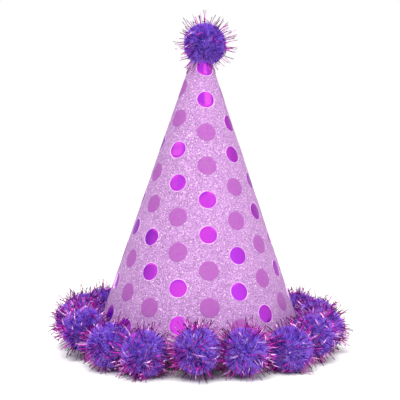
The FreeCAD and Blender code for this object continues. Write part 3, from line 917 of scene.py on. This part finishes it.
def yarn_material(pompoms):
    """Brushed acrylic yarn: matt fibres, painted shade at packed roots, pale at frayed ends."""
    return strand_material(
        "brushed_acrylic_pompom_yarn",
        ((0.05, mix(pompoms.yarn, pompoms.yarn_dark_and_painted_shade, 0.75)), (0.5, pompoms.yarn),
         (0.9, pompoms.yarn_light)),
        # Painted shade from root to tip: darkest at the root, where the fibres are packed, full
        # tone at the tip.
        ((0.05, mix(pompoms.yarn_dark_and_painted_shade, BLACK, 0.2)), (0.4, linear("E5E2F3")), (1.0, WHITE)),
        Roughness=0.85, Sheen_Weight=0.25, Sheen_Roughness=0.4)


def tinsel_material(pompoms):
    """Metallised tinsel film: slit polyester with a magenta face, mirror-like and very thin.

    Each strip takes one tone, standing in for how it lies to the light: painted dark, magenta, or
    a painted glint near white, so the tones differ from strip to strip. Each strip also has
    painted shade at its root, in the yarn, and at its cut end, where it stands against the light.
    """
    dark, bright, painted_glint = pompoms.tinsel_painted_dark, pompoms.tinsel_bright, pompoms.tinsel_painted_glint
    return strand_material(
        "metallised_magenta_tinsel",
        # Tones: painted dark, magenta foil, then painted glint.
        ((0.0, dark), (0.34, mix(dark, bright, 0.3)), (0.5, bright), (0.79, bright),
         (0.83, painted_glint), (1.0, painted_glint)),
        # Painted shade along each strip: darker at its root, in the yarn, and at its cut end,
        # against the light.
        ((0.1, linear("BCBCBC")), (0.45, WHITE), (0.66, WHITE), (0.86, linear("B3AAB5"))),
        Metallic=1.0, Roughness=0.2)


def card_material(sheet):
    """White box board: pressed paper fibre, matt, with faint grey fibres and a soft tooth."""
    material, tree, place = new_material("white_box_board")
    stretch = add_node(tree, "Mapping", {"Vector": place}, Scale=(1.0, 1.0, 0.3))
    fibre = add_node(tree, "TexNoise", {"Vector": stretch},
                     Scale=1 / (1.1 * MM), Detail=5.0, Roughness=0.65)
    tone = add_node(tree, "ValToRGB", {"Fac": fibre},
                    ((0.3, mix(sheet.card, sheet.shade, 0.12)), (0.65, sheet.card)))
    tooth = add_node(tree, "Bump", {"Height": fibre}, Strength=0.3, Distance=0.05 * MM)
    return finish_material(material, {"Base Color": tone, "Normal": tooth}, Roughness=0.8)


def glue_material(name, body, spots):
    """Set hot-melt glue or pressed adhesive: milky resin with cloudy spots and a wet gloss."""
    return drifting_material(name, 1.5 * MM, (0.3, mix(body, spots, 0.3)), (0.7, body),
                             Roughness=0.3, Subsurface_Weight=0.2, Subsurface_Scale=0.8 * MM)


def thread_material(pompoms):
    """Waxed tying thread: two plies twisted tight, dark with a dull shine."""
    return drifting_material("waxed_tying_thread", 0.4 * MM,
                             (0.3, mix(pompoms.thread, BLACK, 0.4)),
                             (0.7, mix(pompoms.thread, pompoms.yarn, 0.4)), Roughness=0.55)


def floor_material(stage):
    """Matt white studio paper with a faint fibre, clean and pale."""
    return drifting_material("white_studio_paper", 3 * MM,
                             (0.3, mix(stage.floor, BLACK, 0.015)), (0.7, stage.floor),
                             Roughness=0.9)


# ---- operators ----------------------------------------------------------------------------


def dress(node, material):
    """Give a frame node's own mesh this material."""
    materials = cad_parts[node].data.materials
    materials.clear()
    materials.append(material)


class PARTYHAT_OT_card(bpy.types.Operator):
    """Give the card, its lap and the tip's glue their materials"""

    bl_idname = "party_hat.card"
    bl_label = "Card and Glue"

    def execute(self, context):
        sheet = context.scene.party_hat_sheet
        glue = glue_material("set_hot_melt_glue", sheet.glue, sheet.cloudy)
        dress("card_cone", card_material(sheet))
        dress("seam_strip", glue_material("pressed_adhesive_strip", sheet.strip, sheet.cloudy))
        dress("rim_glue_dots", glue)
        dress("tip_glue", glue)
        return {"FINISHED"}


class PARTYHAT_OT_glitter(bpy.types.Operator):
    """Lay the glitter film and its raised grains on the cone"""

    bl_idname = "party_hat.glitter"
    bl_label = "Glitter Film"

    def execute(self, context):
        sheet = context.scene.party_hat_sheet
        make_film(sheet, glitter_film_material(sheet))
        make_grains(sheet, context.scene.party_hat_dots, glitter_grain_material(sheet))
        return {"FINISHED"}


class PARTYHAT_OT_dots(bpy.types.Operator):
    """Press the bright and the satin foil dots onto the film"""

    bl_idname = "party_hat.dots"
    bl_label = "Foil Dots"

    def execute(self, context):
        sheet = context.scene.party_hat_sheet
        dots = context.scene.party_hat_dots
        make_dots("bright_foil_dots", "bright_magenta_foil", "foil_dots_bright", BRIGHT_SEED,
                  sheet, dots, True, BRIGHT_RINGS,
                  [bright_foil_material(dots), pearl_edge_material(dots)])
        make_dots("satin_foil_dots", "satin_mauve_foil", "foil_dots_satin", SATIN_SEED,
                  sheet, dots, False, SATIN_RINGS, [satin_foil_material(dots)])
        return {"FINISHED"}


class PARTYHAT_OT_pompoms(bpy.types.Operator):
    """Make the rim pompoms and the top pompom of yarn and tinsel"""

    bl_idname = "party_hat.pompoms"
    bl_label = "Pompoms"

    def execute(self, context):
        pompoms = context.scene.party_hat_pompoms
        yarn = yarn_material(pompoms)
        tinsel = tinsel_material(pompoms)
        for index, node in enumerate(RIM_POMPOMS):
            make_pompom(node, RIM_SEED + index, pompoms, yarn, tinsel, stand=RIM_STAND)
        # The top pompom's yarn is drawn darker overall with a lower middle tone: painted shade.
        make_pompom("top_pompom", TOP_SEED, pompoms, yarn, tinsel, sparse=0.6, reach=1.2,
                    middle_tone=0.36)
        thread = thread_material(pompoms)
        dress("rim_pompom_ties", thread)
        dress("top_pompom_tie", thread)
        return {"FINISHED"}


FLOOR_RADIUS, FLOOR_SEGMENTS = 6.0, 64
LIT_POINT = Vector((0, 0, 0.09))
WINDOW_SIZE, WINDOW_TINT = 0.7, (1, 1, 0.98)
WINDOWS = {"window_left": ((-0.6, -0.9, 1.0), 2.0), "window_right": ((1.0, -0.7, 0.7), 6.5)}
SUN_STRENGTH, SUN_ANGLE = 2.9, math.radians(35)
SUN_TURN = (math.radians(30), 0, math.radians(-12))

# Light that the foil mirrors from each azimuth: the room, and the panels above a lower edge
# that tilts up towards the front.
ROOM = ((-180, (0.42, 0.4, 0.5)), (-100, (0.28, 0.27, 0.49)), (-55, (0.7, 0.68, 0.8)),
        (-30, (0.84, 0.84, 0.85)), (15, (0.84, 0.84, 0.85)), (50, (0.66, 0.65, 0.93)),
        (110, (0.45, 0.4, 0.5)), (180, (0.42, 0.4, 0.5)))
PANELS = ((-98, (0.5, 0.46, 0.74)), (-89, (1.05, 1.3, 0.95)), (-64, (0.95, 1.2, 0.95)),
          (-50, (0.52, 0.5, 0.8)), (16, (0.55, 0.52, 0.84)), (28, (1.1, 1.4, 0.95)),
          (58, (1.05, 1.3, 0.95)), (66, (0.5, 0.46, 0.74)), (76, (0.5, 0.46, 0.74)),
          (88, (0.74, 0.72, 0.66)), (104, (0.5, 0.46, 0.56)), (130, (0.42, 0.4, 0.5)))
PANEL_TILT = -0.21
CEILING = (2.9, 2.75, 2.9, 1)
EVEN_LIGHT = (0.57, 0.57, 0.55, 1)


def hang_light(light, place, turn):
    """Put a light in the scene, out of the foil's sight."""
    lamp = bpy.data.objects.new(light.name, light)
    lamp.location = place
    lamp.rotation_euler = turn
    lamp.visible_glossy = False
    bpy.context.scene.collection.objects.link(lamp)


class PARTYHAT_OT_stage(bpy.types.Operator):
    """Set up the floor, the soft lights and the camera"""

    bl_idname = "party_hat.stage"
    bl_label = "Stage"

    def execute(self, context):
        stage = context.scene.party_hat_stage
        self.make_floor(stage)
        self.make_world()
        for name, (place, power) in WINDOWS.items():
            window = bpy.data.lights.new(name, "AREA")
            window.size = WINDOW_SIZE
            window.energy = power
            window.color = WINDOW_TINT
            towards = LIT_POINT - Vector(place)
            hang_light(window, place, towards.to_track_quat("-Z", "Y").to_euler())
        sun = bpy.data.lights.new("soft_sun", "SUN")
        sun.energy = SUN_STRENGTH
        sun.angle = SUN_ANGLE
        hang_light(sun, (0, 0, 0), SUN_TURN)
        self.make_camera(stage)
        context.scene.view_settings.view_transform = "Standard"
        return {"FINISHED"}

    def make_floor(self, stage):
        """Large round floor: a ring of points round one middle, out to a far horizon."""
        here = np.arange(FLOOR_SEGMENTS)
        turn = here / FLOOR_SEGMENTS * 2 * math.pi
        rim = FLOOR_RADIUS * np.stack([np.cos(turn), np.sin(turn), 0 * turn], axis=1)
        middle = np.full(FLOOR_SEGMENTS, FLOOR_SEGMENTS)
        faces = np.stack([here, (here + 1) % FLOOR_SEGMENTS, middle], axis=1)
        floor = build_mesh("studio_floor", np.concatenate([rim, [[0, 0, 0]]]), [faces],
                           materials=[floor_material(stage)])

    def make_world(self):
        """White to the camera, even grey light for matt faces, and a room for the foil.

        The room that the foil mirrors is brightest in front, dims and cools to the sides and
        back, has soft panels above eye height, hung lower at the sides than in front, and a
        bright ceiling lamp that the tinsel catches.
        """
        world = bpy.data.worlds.new("studio")
        world.use_nodes = True
        tree = world.node_tree
        tree.nodes.clear()
        place = add_node(tree, "TexCoord")
        parts = add_node(tree, "SeparateXYZ", {"Vector": place.outputs["Generated"]})
        front = add_node(tree, "Math", {0: parts.outputs["Y"], 1: -1.0}, operation="MULTIPLY")
        azimuth = add_node(tree, "Math", {0: parts.outputs["X"], 1: front}, operation="ARCTAN2")
        around = add_node(tree, "MapRange", {"Value": azimuth},
                          From_Min=-math.pi, From_Max=math.pi)
        room, panels = (add_node(tree, "ValToRGB", {"Fac": around},
                                 [(0.5 + angle / 360, (*light, 1)) for angle, light in rows])
                        for rows in (ROOM, PANELS))
        panels.color_ramp.interpolation = "EASE"
        edge = add_node(tree, "Math", {0: front, 1: PANEL_TILT, 2: parts.outputs["Z"]},
                        operation="MULTIPLY_ADD")
        raised = add_node(tree, "MapRange", {"Value": edge}, From_Min=0.4, From_Max=0.48)
        mirrored = add_node(tree, "Mix", {"Factor": raised, "A": room, "B": panels},
                            data_type="RGBA")
        overhead = add_node(tree, "MapRange", {"Value": parts.outputs["Z"]},
                            From_Min=0.84, From_Max=0.88)
        roofed = add_node(tree, "Mix", {"Factor": overhead, "A": mirrored, "B": CEILING},
                          data_type="RGBA")
        ray = add_node(tree, "LightPath")
        lit = add_node(tree, "Mix", {"Factor": ray.outputs["Is Glossy Ray"],
                                     "A": EVEN_LIGHT, "B": roofed}, data_type="RGBA")
        seen = add_node(tree, "Mix", {"Factor": ray.outputs["Is Camera Ray"],
                                      "A": lit, "B": WHITE}, data_type="RGBA")
        light = add_node(tree, "Background", {"Color": seen}, Strength=1.0)
        add_node(tree, "OutputWorld", {"Surface": light})
        bpy.context.scene.world = world

    def make_camera(self, stage):
        """Camera in front of the hat, looking a little down and leaning a little."""
        pitch = math.radians(stage.camera_pitch)
        roll = math.radians(stage.camera_roll)
        ahead = Vector((0, math.cos(pitch), -math.sin(pitch)))
        level = Vector((1, 0, 0))
        upward = level.cross(ahead)
        right = math.cos(roll) * level + math.sin(roll) * upward
        up = math.cos(roll) * upward - math.sin(roll) * level
        lens = bpy.data.cameras.new("camera")
        lens.lens = stage.camera_lens
        lens.sensor_width = 36.0
        lens.clip_start = 0.01
        camera = bpy.data.objects.new("camera", lens)
        turn = Matrix((right, up, -ahead)).transposed()
        place = Vector((0, -stage.camera_distance, stage.camera_height))
        camera.matrix_world = Matrix.Translation(place) @ turn.to_4x4()
        bpy.context.scene.collection.objects.link(camera)
        bpy.context.scene.camera = camera


class PARTYHAT_PT_sidebar(bpy.types.Panel):
    """Lists the hat's steps in the order in which they are made"""

    bl_label = "Party Hat"
    bl_space_type = "VIEW_3D"
    bl_region_type = "UI"
    bl_category = "Party Hat"

    def draw(self, context):
        for step in STEPS:
            self.layout.operator(step.bl_idname)


SETTINGS = {
    "party_hat_sheet": HatSheetSettings,
    "party_hat_dots": HatDotSettings,
    "party_hat_pompoms": HatPompomSettings,
    "party_hat_stage": HatStageSettings,
}
STEPS = (PARTYHAT_OT_card, PARTYHAT_OT_glitter, PARTYHAT_OT_dots, PARTYHAT_OT_pompoms,
         PARTYHAT_OT_stage)
CLASSES = (*SETTINGS.values(), *STEPS, PARTYHAT_PT_sidebar)


def register():
    """Register the classes, and hang the settings on the scene."""
    for group in CLASSES:
        bpy.utils.register_class(group)
    for name, group in SETTINGS.items():
        setattr(bpy.types.Scene, name, PointerProperty(type=group))


def unregister():
    """Take the settings off the scene, and unregister the classes."""
    for name in SETTINGS:
        delattr(bpy.types.Scene, name)
    for group in reversed(CLASSES):
        bpy.utils.unregister_class(group)


def main():
    """Build the hat and its stage."""
    register()
    bpy.ops.party_hat.card()
    bpy.ops.party_hat.glitter()
    bpy.ops.party_hat.dots()
    bpy.ops.party_hat.pompoms()
    bpy.ops.party_hat.stage()


if __name__ == "__main__":
    main()
